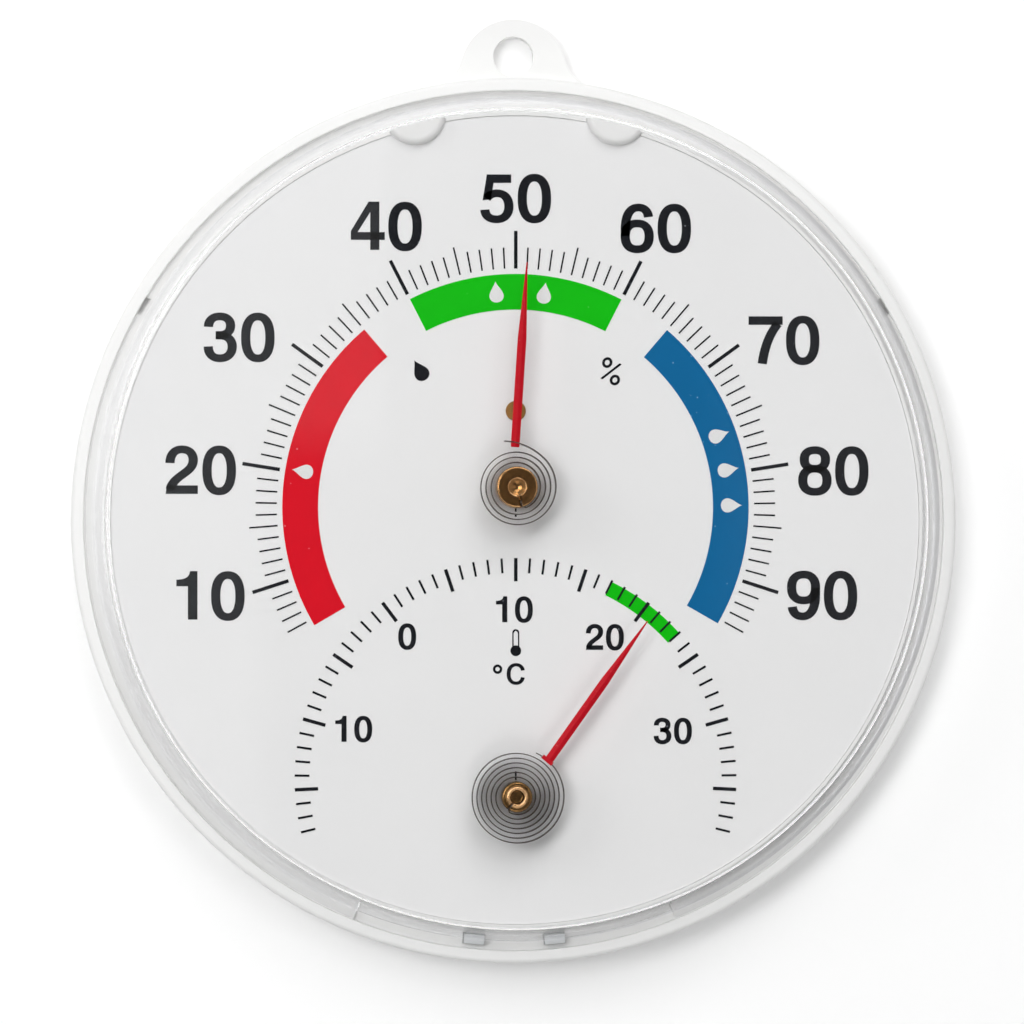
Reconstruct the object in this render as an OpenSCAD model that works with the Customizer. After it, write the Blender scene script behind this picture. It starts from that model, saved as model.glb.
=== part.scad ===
// Wall dial thermo-hygrometer: a hygrometer over a thermometer behind one clear cover.
// Sizes are in millimetres. The dial faces -Y and +Z is up.
// The origin is the middle of the hanging hole, on the wall face.
// Every part is drawn lying on its back, wall face down, and hung() stands it up.
// Clock angles count clockwise from the top of the dial, as a reader sees them.

/* [Case] */
// Radius of the case over its rim
case_r = 66; // [64:0.5:70]
// Height of the rim above the wall
rim_h = 8; // [7:0.25:9]
// Thickness of the moulded walls
wall = 1.5; // [1.2:0.1:1.8]
// How much narrower the skirt is at the wall than at the rim
skirt_draft = 0.5; // [0.2:0.1:0.8]
// Stiffening ribs between the skirt and the pan
rib_count = 18; // [12:6:24]

/* [Hanging eye] */
// Radius of the hanging hole
hole_r = 3; // [2:0.25:3.5]
// Height of the hanging hole's middle above the rim's top
hole_rise = 3.6; // [3.4:0.1:4.5]
// Radius of the eye's round top
eye_r = 8; // [7.5:0.25:9]
// Radius of the hollow fillets from the eye into the rim
eye_fillet = 6; // [4:0.5:8]
// Thickness of the eye
eye_t = 3.2; // [2.4:0.2:4]

/* [Clear cover] */
// Height of the cover's front face above the wall
depth = 24; // [22:0.5:28]
// Thickness of the cover's side and front
cover_t = 1.6; // [1.4:0.1:1.8]
// How much narrower the cover is at the front than at its foot
cover_draft = 0.65; // [0.3:0.05:0.7]
// Radius of the cover's front edge
cover_round = 1.3; // [0.8:0.1:1.5]

/* [Snap hooks and vent] */
// Width of the vent slot at the bottom of the dial, in degrees
vent_arc = 44; // [36:1:50]
// Width of a snap hook
hook_w = 3; // [2.4:0.2:3.6]
// Clock angle of the two side noses from the top
nose_at = 60; // [56:1:64]
// Clock angle of the two bottom hooks from the bottom
low_hook_at = 5.5; // [4:0.5:7]

/* [Dial] */
// Height of the dial's face above the wall
dial_h = 12; // [11.5:0.25:12.5]
// Thickness of the dial plate
dial_t = 0.6; // [0.5:0.1:0.8]
// Clock angle of the two half-round tabs that hold the dial, from the top
tab_at = 14; // [10:1:20]
// Radius of a tab's round edge
tab_r = 4.6; // [4:0.2:5]
// Thickness of the printed ink, drawn thick enough to handle
ink_t = 0.05; // [0.03:0.01:0.08]

/* [Hygrometer] */
// Height of the humidity scale's centre above the dial's centre
hygro_scale_y = 1.85; // [1:0.05:3]
// Height of the humidity movement above the dial's centre
hygro_y = 4.7; // [4:0.1:6]
// Degrees of dial for one percent
hygro_step = 2.7; // [2.5:0.05:2.75]
// Inner radius of the humidity marks
hygro_mark_r = 35.4; // [34:0.1:36]
// Radius of the brass drum that holds the humidity coil
hygro_drum_r = 3.05; // [2.6:0.05:3.1]
// Winds of the humidity coil
hygro_winds = 3.51; // [2.51:1:3.51]
// Distance from wind to wind of the humidity coil
hygro_pitch = 0.76; // [0.7:0.01:0.76]
// Distance from the humidity movement's axis to its pointer's tip
hygro_reach = 33.2; // [30:0.2:34]
// Clock angle of the humidity pointer as shown
hygro_reads_at = 3.7; // [3:0.1:5]

/* [Thermometer] */
// Depth of the temperature scale's centre below the dial's centre
thermo_scale_y = 38.45; // [37:0.05:39]
// Depth of the temperature movement below the dial's centre
thermo_y = 41; // [40:0.1:42]
// Degrees of dial for one degree Celsius
thermo_step = 3.71; // [3.5:0.01:3.8]
// Outer radius of the temperature marks
thermo_mark_r = 32.75; // [32:0.05:33]
// Radius of the brass drum that holds the bimetal coil
thermo_drum_r = 2.25; // [2:0.05:2.3]
// Winds of the bimetal coil
thermo_winds = 6.54; // [5.54:1:6.54]
// Distance from wind to wind of the bimetal coil
thermo_pitch = 0.7; // [0.65:0.01:0.7]
// Distance from the bimetal movement's axis to its pointer's tip
thermo_reach = 32.3; // [30:0.2:33]
// Clock angle of the temperature pointer as shown
thermo_reads_at = 35.4; // [34:0.2:37]

/* [Hidden] */
$fn = 120;
eps = 0.02;

// Colours as they look in daylight
white_c = "#f2f2f0";
clear_c = [0.85, 0.9, 0.95, 0.3];
dial_c = "#e9e9ea";
black_c = "#17191e";
red_c = "#d8102c";
green_c = "#00b400";
blue_c = "#12609c";
brass_c = "#b08a4a";
steel_c = "#8d8f92";
strip_c = "#55504c";

// Heights in the case, all from the wall face
floor_h = 1;
floor_t = 1.6;
trim_hole_r = 2.6;
rim_w = 1.9;
lip_r = case_r - rim_w;
foot_t = 1.2;
ledge_h = rim_h - foot_t - 0.2;
ledge_t = 1.4;
ledge_under = ledge_h - ledge_t;
skirt_in_r = lip_r + 0.4;
pan_r = case_r - 5.5;
pan_t = 1.7;
upstand_w = 0.5;
upstand_h = dial_h + 0.2;
dial_r = pan_r - upstand_w - 0.05;
dial_back = dial_h - dial_t;

// The eye: a round that is blended into the rim by two hollow fillets
eye_c = case_r + 1.2;
hole_c = case_r + hole_rise;
fillet_y = (pow(case_r + eye_fillet, 2) - pow(eye_r + eye_fillet, 2) + eye_c * eye_c) / (2 * eye_c);
fillet_x = sqrt(pow(case_r + eye_fillet, 2) - fillet_y * fillet_y);

// The cover stands on its foot, inside the rim, round the pan
foot_r = lip_r - 0.2;
cover_in_r = pan_r + 0.5;
cover_out_r = cover_in_r + cover_t;
foot_top = ledge_h + foot_t;
low_hook_r = cover_in_r + 0.95;
low_hook_t = 1.05;
hook_gap = 0.12;
hook_low = ledge_under - 1.6;
barb = 0.5;
vent_lift = 1;
vent_sink = 0.8;
nose_w = 2.4;
nose_reach = 0.15;

// Movement heights: what the dial carries in front of it and behind it
strip_t = 0.6;
strip_back = dial_back - strip_t;
bush_flange_t = 0.6;
bush_r = 2.3;
shank_r = 1.5;
run_gap = 0.05;
peen_t = 0.5;
peen_back = strip_back - peen_t;
washer_t = 0.4;
retainer_t = 0.5;
shank_end = peen_back - washer_t - retainer_t - 0.8;
drum_top = 18.2;
foil_t = 0.15;
hygro_foil = [15.4, 17.6];
thermo_foil = [14.9, 16.9];
rivet_y = hygro_y + 11.4;

// Coils: the inner end sits in the drum's slot and the outer end carries the pointer
seg_per_wind = 24;
slot_w = 0.45;
hygro_slot_at = 168;
hygro_foil_r = hygro_drum_r + 0.23;
thermo_slot_at = 218;
thermo_foil_r = thermo_drum_r + 0.25;
// The last sixth of a wind, in degrees before its end. The pointer grips the last straight but one
end_arc = 60;
hygro_end = [60, 45, 30, 18.2, 10.2, 0];
thermo_end = [60, 42, 24.7, 8.7, 0];
// How far the humidity coil's end stands out from its spiral
hygro_lift = 1.09;

// Pointers: a creased strip of sheet, its tail folded round the coil's outer end
blade_w = 1.3;
blade_t = 0.16;
blade_crown = 0.3;
blade_full = 0.66;
cheek_t = 0.2;
grip_gap = 0.03;
grip_h = 1.8;
hygro_tail = 5.85;
hygro_blade_x = -0.7;
hygro_grip_w = 0.85;
thermo_tail = 7.1;
thermo_blade_x = 0.68;
thermo_grip_w = 1.85;

// Scales
hygro_first = 6;
hygro_last = 94;
hygro_mid = 50;
hygro_band = [29.3, 34.6];
thermo_first = -18;
thermo_last = 38;
thermo_mid = 10;
comfort_band = [30.3, 32.5];

module hung() translate([0, 0, -hole_c]) rotate([90, 0, 0]) children();
module clock(a) rotate([0, 0, -a]) children();
module at_hygro() translate([0, hygro_y, 0]) children();
module at_thermo() translate([0, -thermo_y, 0]) children();

function polar(r, a) = [r * sin(a), r * cos(a)];
function arc(c, r, a0, a1, n) = [for (i = [0:n]) c + r * [cos(a0 + (a1 - a0) * i / n), sin(a0 + (a1 - a0) * i / n)]];

// A flat ring
module ring(r_in, r_out, z, t) translate([0, 0, z]) difference() {
  cylinder(r = r_out, h = t);
  translate([0, 0, -1]) cylinder(r = r_in, h = t + 2);
}

// A piece of a ring between two clock angles that are under 180 degrees apart
module ring_piece(r_in, r_out, a0, a1) difference() {
  intersection() {
    circle(r = r_out);
    polygon([[0, 0], for (i = [0:4]) polar(2 * r_out, a0 + (a1 - a0) * i / 4)]);
  }
  circle(r = r_in);
}

// A block standing on the clock angle a, from radius r_in to r_out
module spoke(a, r_in, r_out, w, z, h) clock(a) translate([-w / 2, r_in, z]) cube([w, r_out - r_in, h]);

module eye_outline() difference() {
  union() {
    translate([0, eye_c]) circle(r = eye_r);
    polygon([
      [0, eye_c - eye_r], case_r / (case_r + eye_fillet) * [fillet_x, fillet_y], [fillet_x, fillet_y],
      [0, eye_c] + eye_r / (eye_r + eye_fillet) * [fillet_x, fillet_y - eye_c],
      [0, eye_c] + eye_r / (eye_r + eye_fillet) * [-fillet_x, fillet_y - eye_c],
      [-fillet_x, fillet_y], case_r / (case_r + eye_fillet) * [-fillet_x, fillet_y]
    ]);
  }
  for (s = [-1, 1]) translate([s * fillet_x, fillet_y]) circle(r = eye_fillet + eps);
  circle(r = case_r - skirt_draft - wall / 2);
}

// Section of the case: floor, pan wall with its upstand and dial seat, ledge, rim and skirt
module case_section() polygon(concat(
  [[0, floor_h], [pan_r - 2, floor_h]],
  arc([pan_r - 2, floor_h + 2], 2, -90, 0, 5),
  [[pan_r, ledge_under], [skirt_in_r, ledge_under], [case_r - skirt_draft - wall, 0], [case_r - skirt_draft, 0]],
  arc([case_r - 0.7, rim_h - 0.7], 0.7, 0, 90, 5),
  arc([lip_r + 0.25, rim_h - 0.25], 0.25, 90, 180, 3),
  [[lip_r, ledge_h], [pan_r, ledge_h], [pan_r, upstand_h], [pan_r - upstand_w, upstand_h],
   [pan_r - upstand_w, dial_back], [pan_r - pan_t, dial_back], [pan_r - pan_t, floor_h + floor_t + 1],
   [pan_r - pan_t - 1, floor_h + floor_t], [0, floor_h + floor_t]]
));

// A half-round tab that reaches in over the dial's edge, with a post up the outside of the pan
module dial_tab(a) clock(a) intersection() {
  translate([0, 0, dial_h]) cylinder(r = pan_r, h = 1.6);
  translate([0, pan_r + 1.5, dial_h]) rotate_extrude() polygon(concat(
    [[0, 0], [tab_r, 0]], arc([tab_r - 0.9, 0.7], 0.9, 0, 90, 5), [[0, 1.6]]));
}

module rear_case() color(white_c) hung() difference() {
  union() {
    rotate_extrude() case_section();
    linear_extrude(eye_t) eye_outline();
    for (s = [-1, 1]) dial_tab(s * tab_at);
    for (i = [0:rib_count - 1])
      spoke((i + 0.5) * 360 / rib_count, pan_r - 0.5, skirt_in_r + 0.3, 1, floor_h, ledge_under - floor_h + 0.5);
    // Posts that the dial plate lies on
    for (p = [[-30, 22], [30, 22], [-34, -26], [34, -26]])
      translate([p[0], p[1], floor_h + floor_t - 0.5]) cylinder(r = 2, h = dial_back - floor_h - floor_t + 0.5);
  }
  translate([0, hole_c, -1]) cylinder(r = hole_r, h = eye_t + 2);
  // The opening through which a screwdriver turns the humidity arbor
  at_hygro() cylinder(r = trim_hole_r, h = floor_h + floor_t + 1);
  // The ledge is sunk over the vent's arc, with a window for each bottom hook
  translate([0, 0, ledge_h - vent_sink]) linear_extrude(vent_sink + eps)
    ring_piece(pan_r + 0.3, lip_r, 180 - vent_arc / 2, 180 + vent_arc / 2);
  for (s = [-1, 1]) {
    spoke(180 + s * low_hook_at, low_hook_r - hook_gap, low_hook_r + low_hook_t + 0.5, hook_w + 0.3, ledge_under - eps, ledge_t);
    // A pocket under each side nose, and its groove under the rim's lip
    spoke(s * nose_at, foot_r - 0.55, lip_r, nose_w + 0.4, ledge_h - vent_sink, vent_sink + eps);
    spoke(s * nose_at, lip_r - 0.3, lip_r + nose_reach + 0.2, nose_w + 0.4, ledge_h - vent_sink, vent_sink + 0.85);
  }
}

// Section of the cover: a foot that lies on the ledge, a leaning side and a flat front
module cover_section() {
  top_r = cover_out_r - cover_draft;
  polygon(concat(
    [[cover_in_r, ledge_h], [foot_r, ledge_h], [foot_r, foot_top - 0.2], [foot_r - 0.2, foot_top],
     [cover_out_r + 0.3, foot_top], [cover_out_r, foot_top + 0.3]],
    arc([top_r - cover_round, depth - cover_round], cover_round, 0, 90, 8),
    [[0, depth], [0, depth - cover_t]],
    arc([top_r - cover_t - 0.5, depth - cover_t - 0.5], 0.5, 90, 0, 4)
  ));
}

// A hook under the side that passes the ledge and catches under its inner side
module hook(a) let (r = low_hook_r, t = low_hook_t) clock(a) translate([hook_w / 2, 0, 0]) rotate([0, -90, 0])
  linear_extrude(hook_w) polygon([
    [foot_top + 1.2, r], [foot_top, r + t], [hook_low, r + t], [hook_low, r],
    [ledge_under - 0.9, r - barb], [ledge_under - 0.1, r - barb], [ledge_under - 0.1, r]
  ]);

module front_cover() color(clear_c) hung() union() {
  difference() {
    rotate_extrude() cover_section();
    // The foot and the side's lower edge are cut away over the vent slot
    translate([0, 0, ledge_h - 1]) linear_extrude(vent_lift + 1)
      ring_piece(cover_in_r - 1, foot_r + 1, 180 - vent_arc / 2, 180 + vent_arc / 2);
    translate([0, 0, ledge_h]) linear_extrude(foot_t + 0.3)
      ring_piece(cover_out_r, foot_r + 1, 180 - vent_arc / 2, 180 + vent_arc / 2);
  }
  for (s = [-1, 1]) {
    hook(180 + s * low_hook_at);
    // A nose that snaps in under the rim's lip
    spoke(s * nose_at, foot_r - 0.3, lip_r + nose_reach, nose_w, ledge_h + 0.15, 0.6);
  }
}

module dial_plate() color(dial_c) hung() difference() {
  translate([0, 0, dial_back]) cylinder(r = dial_r, h = dial_t);
  at_hygro() cylinder(r = bush_r, h = depth);
  at_thermo() cylinder(r = shank_r + 0.4, h = depth);
  translate([0, rivet_y, 0]) cylinder(r = 0.9, h = depth);
}

module dial_rivet() color(brass_c) hung() translate([0, rivet_y, 0]) union() {
  translate([0, 0, dial_h]) cylinder(r = 1.5, h = 0.12);
  translate([0, 0, strip_back]) cylinder(r = 0.9, h = dial_h - strip_back + eps);
  translate([0, 0, peen_back]) cylinder(r = 1.6, h = peen_t);
}

// The strip behind the dial that keeps the humidity bush from turning
module hub_strip() color(steel_c) hung() translate([0, 0, strip_back]) linear_extrude(strip_t) difference() {
  union() {
    at_hygro() circle(r = 4.5);
    translate([0, rivet_y]) circle(r = 2.6);
    polygon([[-4, hygro_y], [4, hygro_y], [2.4, rivet_y], [-2.4, rivet_y]]);
  }
  at_hygro() circle(r = bush_r);
  translate([0, rivet_y]) circle(r = 0.9);
}

module band(r, a0, a1) linear_extrude(ink_t) ring_piece(r[0], r[1], a0, a1);
module on_dial(y) hung() translate([0, y, dial_h]) children();

module dry_band_print() color(red_c) on_dial(hygro_scale_y)
  band(hygro_band, (5.4 - hygro_mid) * hygro_step, (35 - hygro_mid) * hygro_step);
module ideal_band_print() color(green_c) on_dial(hygro_scale_y)
  band(hygro_band, (40 - hygro_mid) * hygro_step, (60 - hygro_mid) * hygro_step);
module humid_band_print() color(blue_c) on_dial(hygro_scale_y)
  band(hygro_band, (65 - hygro_mid) * hygro_step, (94.4 - hygro_mid) * hygro_step);

module hygro_marks() {
  for (v = [hygro_first:hygro_last]) {
    long = v % 10 == 0 ? 5.6 : v % 5 == 0 ? 4.2 : 3.15;
    spoke((v - hygro_mid) * hygro_step, hygro_mark_r, hygro_mark_r + long, v % 10 == 0 ? 0.52 : 0.24, 0, ink_t);
  }
  // Centre marks
  spoke(0, -0.7, 0.2, 0.25, 0, ink_t);
  translate([0, -1.3, 0]) cylinder(r = 0.16, h = ink_t);
}

module thermo_marks(t) {
  for (v = [thermo_first:thermo_last])
    spoke((v - thermo_mid) * thermo_step, thermo_mark_r - (v % 5 == 0 ? 3.45 : 2.2), thermo_mark_r,
          v % 5 == 0 ? 0.52 : 0.33, 0, t);
  spoke(0, -0.15, 1.15, 0.25, 0, t);
}

module hygro_scale_print() color(black_c) on_dial(hygro_scale_y) hygro_marks();
module thermo_scale_print() color(black_c) on_dial(-thermo_scale_y) thermo_marks(ink_t);
module comfort_band_print() color(green_c) on_dial(-thermo_scale_y) difference() {
  band(comfort_band, (17 - thermo_mid) * thermo_step, (23 - thermo_mid) * thermo_step);
  translate([0, 0, -1]) thermo_marks(2);
}

// Humidity movement, from front to back: arbor and coil, bush, spring washer, retainer
module hygro_bush() color(brass_c) hung() at_hygro() difference() {
  union() {
    translate([0, 0, dial_h]) cylinder(r = bush_r + 0.5, h = bush_flange_t);
    translate([0, 0, strip_back]) cylinder(r = bush_r, h = dial_h - strip_back + eps);
    translate([0, 0, peen_back]) cylinder(r = bush_r + 0.4, h = peen_t);
  }
  cylinder(r = shank_r + run_gap, h = depth);
}

module hygro_spring_washer() color(steel_c) hung() at_hygro() rotate_extrude() polygon([
  [shank_r + 0.15, peen_back - washer_t], [shank_r + 0.35, peen_back - washer_t],
  [bush_r + 0.3, peen_back - 0.15], [bush_r + 0.3, peen_back], [bush_r + 0.1, peen_back],
  [shank_r + 0.15, peen_back - washer_t + 0.2]
]);

module hygro_retainer() color(steel_c) hung() at_hygro()
  ring(shank_r, bush_r + 0.4, peen_back - washer_t - retainer_t - eps, retainer_t);

// The slot that takes a coil's inner end, cut from the drum's hole to its outside
module coil_slot(a, r, low) spoke(a, 0, r + 1, slot_w, low, depth);

module hygro_arbor() color(brass_c) hung() at_hygro() difference() {
  union() {
    translate([0, 0, dial_h + bush_flange_t + run_gap]) {
      cylinder(r = hygro_drum_r, h = drum_top - dial_h - bush_flange_t - run_gap - 0.2);
      translate([0, 0, drum_top - dial_h - bush_flange_t - run_gap - 0.2])
        cylinder(r1 = hygro_drum_r, r2 = hygro_drum_r - 0.2, h = 0.2);
    }
    translate([0, 0, shank_end]) cylinder(r = shank_r, h = dial_h - shank_end + 1);
  }
  translate([0, 0, 14.2]) cylinder(r = 1.24, h = depth);
  coil_slot(hygro_slot_at, hygro_drum_r, hygro_foil[0] - 0.3);
  // Screwdriver slot in the back end
  translate([-shank_r - 1, -0.25, shank_end - 1]) cube([2 * shank_r + 2, 0.5, 1.7]);
}

module thermo_stud() color(brass_c) hung() at_thermo() difference() {
  union() {
    translate([0, 0, dial_h]) cylinder(r = thermo_drum_r, h = 5.2);
    translate([0, 0, dial_h + 5]) cylinder(r = 1.62, h = 1);
    translate([0, 0, strip_back]) cylinder(r = shank_r + 0.4, h = dial_h - strip_back + eps);
    translate([0, 0, peen_back]) cylinder(r = shank_r + 1, h = peen_t);
  }
  translate([0, 0, thermo_foil[1] - 0.9]) cylinder(r = 1, h = depth);
  coil_slot(thermo_slot_at, thermo_drum_r, thermo_foil[0] - 0.3);
}

module thermo_washer() color(steel_c) hung() at_thermo() ring(shank_r + 0.4, 4, strip_back, strip_t);

// Middle line of a coil. A tail lies on one side of the slot, then the line winds outwards against the clock
function foil_point(deg, slot_at, r0, winds, pitch, lift) =
  polar(r0 + pitch * deg / 360 + lift * pow(max(0, 1 - (360 * winds - deg) / end_arc), 2), slot_at - deg);
function foil_line(slot_at, drum_r, r0, winds, pitch, lift, end) = let (
  side = (foil_t - slot_w) / 2,
  body = 360 * winds - end_arc,
  n = ceil(body * seg_per_wind / 360)
) concat(
  [for (y = [drum_r - 1, drum_r - 0.3, drum_r + 0.05]) side * polar(1, slot_at + 90) + polar(y, slot_at)],
  [for (i = [1:n - 1]) foil_point(body * i / n, slot_at, r0, winds, pitch, lift)],
  [for (e = end) foil_point(360 * winds - e, slot_at, r0, winds, pitch, lift)]
);
// Unit normal of a line at point i
function normal_at(p, i) = let (d = p[min(i + 1, len(p) - 1)] - p[max(i - 1, 0)]) [-d[1], d[0]] / norm(d);

// A strip on edge that follows a line
module foil(p, h) translate([0, 0, h[0]]) linear_extrude(h[1] - h[0]) polygon(concat(
  [for (i = [0:len(p) - 1]) p[i] + normal_at(p, i) * foil_t / 2],
  [for (i = [len(p) - 1:-1:0]) p[i] - normal_at(p, i) * foil_t / 2]
));

// Least gap between one wind and the next, from point to point of the line
function least_gap(p) = let (near = seg_per_wind / 2) min([for (i = [0:len(p) - 1 - near])
  min([for (j = [i + near:len(p) - 1]) norm(p[i] - p[j])])]) - foil_t;

hygro_line = foil_line(hygro_slot_at, hygro_drum_r, hygro_foil_r, hygro_winds, hygro_pitch, hygro_lift, hygro_end);
thermo_line = foil_line(thermo_slot_at, thermo_drum_r, thermo_foil_r, thermo_winds, thermo_pitch, 0, thermo_end);
echo("least gap in the humidity coil", least_gap(hygro_line));
echo("least gap in the bimetal coil", least_gap(thermo_line));

module hygro_coil() color(strip_c) hung() at_hygro() foil(hygro_line, hygro_foil);
module thermo_coil() color(strip_c) hung() at_thermo() foil(thermo_line, thermo_foil);

// Half of a pointer's creased section, on the side s
module half_section(y, w, s) translate([0, y, 0]) rotate([90, 0, 0]) linear_extrude(eps) let (
  crown = blade_crown * w / blade_w
) polygon([[0, crown], [s * w / 2, 0], [s * w / 2, -blade_t], [0, crown - blade_t]]);

// The blade keeps its width over most of its length, then runs to a fine tip
module blade(tail, reach) for (s = [-1, 1]) {
  hull() {
    half_section(tail + eps, blade_w, s);
    half_section(reach * blade_full, blade_w, s);
  }
  hull() {
    half_section(reach * blade_full, blade_w, s);
    half_section(reach, 0.16, s);
  }
}

// A saddle that grips the line's last straight but one: two cheeks and the fold that joins them
module grip(p, w) {
  a = p[len(p) - 3];
  b = p[len(p) - 2];
  half = foil_t / 2 + grip_gap + cheek_t;
  translate((a + b) / 2) rotate([0, 0, atan2(b[1] - a[1], b[0] - a[0])]) {
    translate([-w / 2, -half, 0]) cube([w, 2 * half, blade_t * 1.25]);
    for (s = [-1, 1]) translate([-w / 2, s * (half - cheek_t / 2) - cheek_t / 2, -grip_h])
      cube([w, cheek_t, grip_h + blade_t * 0.6]);
  }
}

module hygro_pointer() color(red_c) hung() at_hygro() translate([0, 0, hygro_foil[1] + grip_gap]) union() {
  clock(hygro_reads_at) translate([hygro_blade_x, 0, blade_t]) {
    blade(hygro_tail, hygro_reach);
    // The tail's end is folded down
    translate([-blade_w / 2 + 0.1, hygro_tail, -blade_t - 0.6]) cube([blade_w - 0.2, cheek_t, blade_t + 0.6]);
  }
  grip(hygro_line, hygro_grip_w);
}

module thermo_pointer() color(red_c) hung() at_thermo() translate([0, 0, thermo_foil[1] + grip_gap]) union() {
  clock(thermo_reads_at) translate([thermo_blade_x, 0, blade_t]) blade(thermo_tail, thermo_reach);
  grip(thermo_line, thermo_grip_w);
}

rear_case();
front_cover();
dial_plate();
dial_rivet();
hub_strip();
dry_band_print();
ideal_band_print();
humid_band_print();
comfort_band_print();
hygro_scale_print();
thermo_scale_print();
hygro_bush();
hygro_spring_washer();
hygro_retainer();
hygro_arbor();
hygro_coil();
hygro_pointer();
thermo_stud();
thermo_washer();
thermo_coil();
thermo_pointer();
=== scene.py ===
import math
import bpy
import bmesh
import numpy as np
from mathutils import Matrix, Vector


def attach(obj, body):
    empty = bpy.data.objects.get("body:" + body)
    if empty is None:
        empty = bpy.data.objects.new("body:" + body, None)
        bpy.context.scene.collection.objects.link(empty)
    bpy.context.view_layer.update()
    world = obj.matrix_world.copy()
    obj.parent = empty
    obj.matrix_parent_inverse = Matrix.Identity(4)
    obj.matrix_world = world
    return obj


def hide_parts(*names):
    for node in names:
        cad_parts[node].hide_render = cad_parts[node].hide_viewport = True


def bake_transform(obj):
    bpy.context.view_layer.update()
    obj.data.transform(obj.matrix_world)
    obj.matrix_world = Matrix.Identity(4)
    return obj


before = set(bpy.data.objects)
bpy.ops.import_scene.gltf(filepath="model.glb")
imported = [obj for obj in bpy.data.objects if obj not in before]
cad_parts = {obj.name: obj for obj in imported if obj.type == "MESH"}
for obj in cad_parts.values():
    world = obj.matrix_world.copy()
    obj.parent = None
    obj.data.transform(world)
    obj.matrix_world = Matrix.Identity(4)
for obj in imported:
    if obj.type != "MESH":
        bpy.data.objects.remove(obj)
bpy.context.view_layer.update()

scene = bpy.context.scene
scene.view_settings.view_transform = "Standard"
print("frame loaded")

# Everything is worked out in millimetres on an object that lies on its back:
# right and up on the dial, then height above the wall. toRow stands it up in the row's frame.
place = {"dialBelowHole": 69.6, "dialHeight": 12.0, "hygroUp": 4.7, "thermoUp": -41.0,
         "hygroScaleUp": 1.85, "thermoScaleUp": -38.45, "rivetAboveHygro": 11.4, "inkThickness": 0.045}
# metres within which points are one point; half the angle, in radians, of a corner that is left as it is
mergeWithin, nearlyStraight = 2e-8, 1.55


def toRow(points):
    p = np.asarray(points, float)
    return np.stack([p[..., 0], -p[..., 2], p[..., 1] - place["dialBelowHole"]], -1) * 0.001


def polar(radius, clock):
    # a point at a clock angle, in degrees from the top
    a = np.radians(clock)
    return np.stack([radius * np.sin(a), radius * np.cos(a)], -1)


def turnedBy(flat, clock, centre=(0, 0)):
    # flat points turned clockwise round the origin by an angle in degrees, then moved to a centre
    a = math.radians(clock)
    x, y = flat[..., 0], flat[..., 1]
    return np.stack([centre[0] + x * math.cos(a) + y * math.sin(a),
                     centre[1] - x * math.sin(a) + y * math.cos(a)], -1)


def gridFaces(rows, columns, closeRows=False, closeColumns=False):
    # one quad for each cell of a grid whose points are stored row by row
    r = np.arange(rows if closeRows else rows - 1)[:, None]
    c = np.arange(columns if closeColumns else columns - 1)[None, :]
    nextR, nextC = (r + 1) % rows, (c + 1) % columns
    cells = [r * columns + c, r * columns + nextC, nextR * columns + nextC, nextR * columns + c]
    return np.stack(cells, -1).reshape(-1, 4)


def tubeFaces(rings, sides):
    # a grid that is closed round its sides, with one more face over each end
    ends = [list(range(sides))[::-1], list(range(sides * (rings - 1), sides * rings))]
    return gridFaces(rings, sides, False, True).tolist() + ends


def makePiece(name, parts, material, body, sharp=30):
    # parts is a list of (points, faces); every part is a closed surface
    mesh = bpy.data.meshes.new(name)
    points = np.concatenate([np.reshape(p, (-1, 3)) for p, f in parts])
    starts = np.cumsum([0] + [np.size(p) // 3 for p, f in parts])
    faces = [[int(v) + int(s) for v in face] for (p, f), s in zip(parts, starts) for face in f]
    mesh.from_pydata(toRow(points).tolist(), [], faces)
    work = bmesh.new()
    work.from_mesh(mesh)
    bmesh.ops.remove_doubles(work, verts=work.verts, dist=mergeWithin)
    bmesh.ops.recalc_face_normals(work, faces=work.faces)
    work.to_mesh(mesh)
    work.free()
    mesh.polygons.foreach_set("use_smooth", np.ones(len(mesh.polygons), bool))
    mesh.set_sharp_from_angle(angle=math.radians(sharp))
    mesh.materials.append(material)
    piece = bpy.data.objects.new(name, mesh)
    scene.collection.objects.link(piece)
    if body:
        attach(piece, body)
    return piece


def roundCorners(corners, radii, steps=6, hold=0.0):
    # a closed outline whose corners are replaced by arcs that touch both sides; with hold, a point that
    # far beyond each end of an arc keeps the side's shading flat
    c = np.asarray(corners, float)
    out = []
    for i, r in enumerate(radii):
        a, b, d = c[i - 1], c[i], c[(i + 1) % len(c)]
        u, v = (a - b) / np.linalg.norm(a - b), (d - b) / np.linalg.norm(d - b)
        half = math.acos(np.clip(u @ v, -1, 1)) / 2
        if r <= 0 or half > nearlyStraight:
            out.append(b[None])
            continue
        reach = r / math.tan(half)
        centre = b + (u + v) / np.linalg.norm(u + v) * r / math.sin(half)
        p, q = b + u * reach - centre, b + v * reach - centre
        a0, a1 = math.atan2(p[1], p[0]), math.atan2(q[1], q[0])
        turn = (a1 - a0 + math.pi) % (2 * math.pi) - math.pi
        t = a0 + turn * np.linspace(0, 1, steps + 1)
        if hold:
            out.append((b + u * (reach + hold))[None])
        out.append(centre + r * np.stack([np.cos(t), np.sin(t)], -1))
        if hold:
            out.append((b + v * (reach + hold))[None])
    return np.concatenate(out)


def slab(outline, low, high):
    # a flat outline, whose last corner is joined to its first, raised from low to high
    p = np.asarray(outline, float)
    n = len(p)
    points = np.concatenate([np.column_stack([p, np.full(n, low)]),
                             np.column_stack([p, np.full(n, high)])])
    return points, tubeFaces(2, n)


# Materials

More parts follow.
